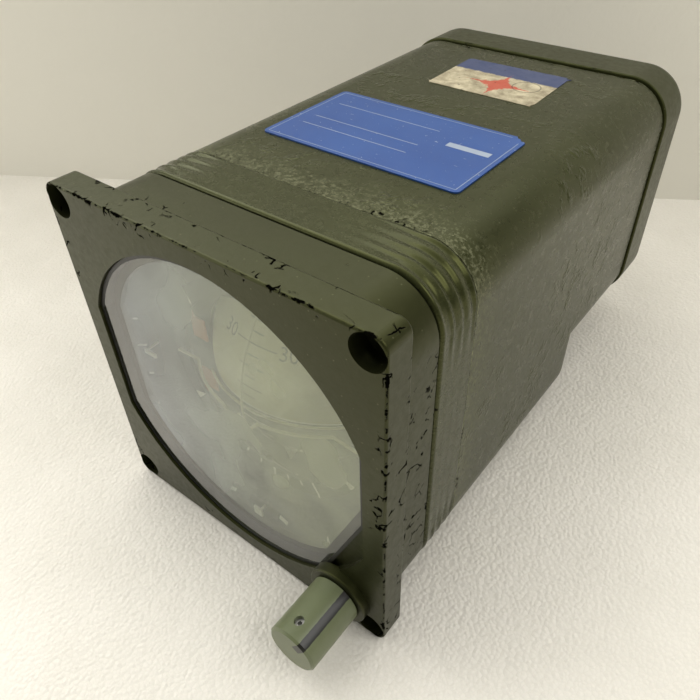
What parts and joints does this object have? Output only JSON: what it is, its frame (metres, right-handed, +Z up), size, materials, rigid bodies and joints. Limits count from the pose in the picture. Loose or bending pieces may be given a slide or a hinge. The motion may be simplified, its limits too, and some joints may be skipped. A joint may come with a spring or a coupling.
{
  "type": "attitude indicator",
  "caption": "Panel-mounted sphere attitude indicator: flanged square bezel, cropped round window, stepped sealed case, geared sphere in a roll gimbal, steering bars.",
  "frame": {"origin": "centre of the four panel screws, in the plane of the bezel flange's rear face", "axes": "+Z up, -Y out of the panel towards the pilot, +X to the pilot's right"},
  "size_m": [0.127, 0.2618, 0.1334],
  "materials": {
    "bezel_paint": "satin dark olive paint",
    "case_paint": "satin olive paint, scuffed",
    "knob_paint": "matt light olive paint",
    "window": "clear glass, hazed inside",
    "seal_black": "black sealing compound",
    "connector_metal": "dull plated aluminium",
    "insulator": "black insulating plastic",
    "steel": "turned steel",
    "frame_metal": "machined aluminium",
    "brass": "hobbed brass",
    "motor_can": "black oxide",
    "dial_black": "matt black paint",
    "sky_paint": "matt grey paint",
    "ground_paint": "matt black paint",
    "bar_orange": "orange paint",
    "mark_white": "matt off-white paint",
    "tube_glass": "clear glass",
    "ball_black": "gloss black",
    "board_green": "lacquered laminate"
  },
  "bodies": {
    "case": {"bezel": "bezel_paint", "window_glass": "window", "glass_seal": "seal_black", "seal_band": "case_paint", "main_case": "case_paint", "rear_gasket": "seal_black", "rear_cap": "case_paint", "cap_screws": "steel", "connector_shell": "connector_metal", "connector_insert": "insulator", "purge_plug": "brass", "knob_bushing": "brass", "trim_potentiometer": "motor_can", "dial_mask": "dial_black", "aircraft_symbol": "bar_orange", "slip_tube": "tube_glass", "front_plate": "frame_metal", "frame_posts": "frame_metal", "mid_plate": "frame_metal", "rear_posts": "frame_metal", "rear_plate": "frame_metal", "roll_bearings": "steel", "roll_motor": "motor_can", "brush_block": "insulator", "roll_synchro": "motor_can", "pitch_bar_meter": "motor_can", "glide_meter": "motor_can", "bank_bar_meter": "motor_can", "turn_meter": "motor_can", "attitude_flag_meter": "motor_can", "glide_flag_meter": "motor_can", "amplifier_board_left": "board_green", "amplifier_board_right": "board_green"},
    "roll_gimbal": {"roll_ring": "dial_black", "bank_pointer": "mark_white", "gimbal_yoke": "frame_metal", "roll_shaft": "steel", "roll_gear": "brass", "slip_rings": "brass", "pitch_shaft": "steel", "pitch_motor": "motor_can"},
    "sphere": {"sphere_upper": "sky_paint", "sphere_lower": "ground_paint", "sphere_ring": "frame_metal", "sphere_hub": "frame_metal", "pitch_gear": "brass"},
    "roll_pinion": {"roll_pinion": "brass"},
    "pitch_pinion": {"pitch_pinion": "brass"},
    "pitch_bar": {"pitch_bar": "bar_orange"},
    "bank_bar": {"bank_bar": "bar_orange"},
    "glide_pointer": {"glide_pointer": "bar_orange"},
    "turn_needle": {"turn_needle": "mark_white"},
    "attitude_flag": {"attitude_flag": "bar_orange"},
    "glide_flag": {"glide_flag": "bar_orange"},
    "slip_ball": {"slip_ball": "ball_black"},
    "knob": {"trim_knob": "knob_paint", "knob_shaft": "steel", "knob_set_screw": "steel"}
  },
  "joints": [
    {"name": "roll", "type": "hinge", "parent": "case", "child": "roll_gimbal", "pos_m": [0, 0.1, 0], "axis": [0, 1, 0], "continuous": true},
    {"name": "roll_pinion_spin", "type": "hinge", "parent": "case", "child": "roll_pinion", "pos_m": [0, 0.11, 0.0351], "axis": [0, 1, 0], "continuous": true},
    {"name": "pitch", "type": "hinge", "parent": "roll_gimbal", "child": "sphere", "pos_m": [0, 0.046, 0], "axis": [1, 0, 0], "range_deg": [-85, 85]},
    {"name": "pitch_pinion_spin", "type": "hinge", "parent": "roll_gimbal", "child": "pitch_pinion", "pos_m": [0.0245, 0.0692, 0], "axis": [1, 0, 0], "range_deg": [-270, 270]},
    {"name": "pitch_bar_swing", "type": "hinge", "parent": "case", "child": "pitch_bar", "pos_m": [0.0535, 0.046, 0], "axis": [1, 0, 0], "range_deg": [-22, 22], "stiffness_Nm_per_rad": 0.02},
    {"name": "bank_bar_swing", "type": "hinge", "parent": "case", "child": "bank_bar", "pos_m": [0, 0.046, 0.0535], "axis": [0, 0, 1], "range_deg": [-18, 18], "stiffness_Nm_per_rad": 0.02},
    {"name": "glide_pointer_swing", "type": "hinge", "parent": "case", "child": "glide_pointer", "pos_m": [-0.0535, 0.046, 0], "axis": [1, 0, 0], "range_deg": [-14, 14], "stiffness_Nm_per_rad": 0.02},
    {"name": "turn_needle_swing", "type": "hinge", "parent": "case", "child": "turn_needle", "pos_m": [0, 0.03, -0.0535], "axis": [0, 0, 1], "range_deg": [-9, 9], "stiffness_Nm_per_rad": 0.02},
    {"name": "attitude_flag_swing", "type": "hinge", "parent": "case", "child": "attitude_flag", "pos_m": [-0.045, 0.011, 0.038], "axis": [0, 1, 0], "range_deg": [0, 25], "stiffness_Nm_per_rad": 0.01},
    {"name": "glide_flag_swing", "type": "hinge", "parent": "case", "child": "glide_flag", "pos_m": [-0.045, 0.011, -0.038], "axis": [0, -1, 0], "range_deg": [0, 25], "stiffness_Nm_per_rad": 0.01},
    {"name": "slip_ball_roll", "type": "hinge", "parent": "case", "child": "slip_ball", "pos_m": [0, 0.0006, 0.054], "axis": [0, 1, 0], "range_deg": [-7, 7]},
    {"name": "trim_turn", "type": "hinge", "parent": "case", "child": "knob", "pos_m": [0.0461, -0.02, -0.051], "axis": [0, 1, 0], "range_deg": [-120, 120]}
  ],
  "couplings": [
    {"joint": "roll_pinion_spin", "follows": "roll", "ratio": -4.5714},
    {"joint": "pitch_pinion_spin", "follows": "pitch", "ratio": -3.1429}
  ]
}
